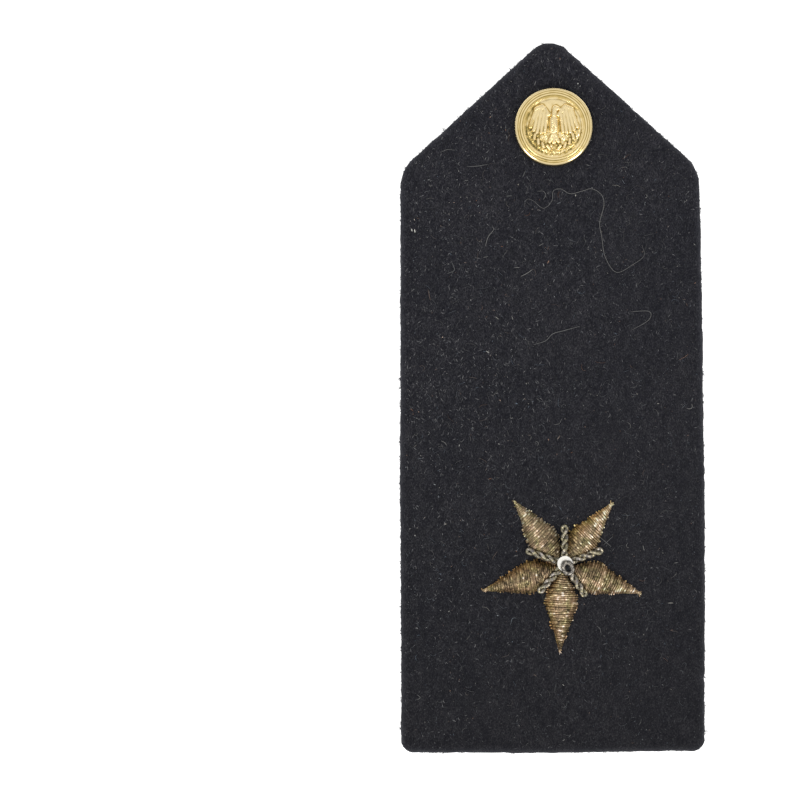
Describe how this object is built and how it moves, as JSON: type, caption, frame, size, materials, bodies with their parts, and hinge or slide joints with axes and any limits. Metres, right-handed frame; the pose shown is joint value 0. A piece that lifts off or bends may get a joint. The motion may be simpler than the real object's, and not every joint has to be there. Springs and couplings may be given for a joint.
{
  "type": "shoulder board",
  "caption": "Hard uniform shoulder board in dark navy wool cloth, with a gilt button at its pointed end and a padded metal-thread star near its square end.",
  "frame": {"origin": "under the middle of the board, on the surface that it rests on", "axes": "+Y towards the pointed end with the button, +X to the right seen from the face, +Z out of the face"},
  "size_m": [0.057, 0.1334, 0.0099],
  "materials": {
    "wool_cloth": "matt napped wool, very dark navy, lightly linted",
    "strap_leather": "satin black, fine grain",
    "gilt_brass": "gilt, polished, darker in the hollows",
    "post_brass": "plain, satin",
    "star_thread": "tarnished gold-brown metal thread",
    "coiled_wire": "tarnished grey-green coiled wire",
    "spangle_metal": "bright, cream-white"
  },
  "bodies": {
    "root": {"cloth_board": "wool_cloth", "strap": "strap_leather", "button_face": "gilt_brass", "button_post": "post_brass", "star_spangle": "spangle_metal", "star_knot": "coiled_wire", "star_arm_1": "star_thread", "star_arm_2": "star_thread", "star_arm_3": "star_thread", "star_arm_4": "star_thread", "star_arm_5": "star_thread", "star_cord_1": "coiled_wire", "star_cord_2": "coiled_wire", "star_cord_3": "coiled_wire", "star_cord_4": "coiled_wire", "star_cord_5": "coiled_wire"}
  },
  "joints": []
}
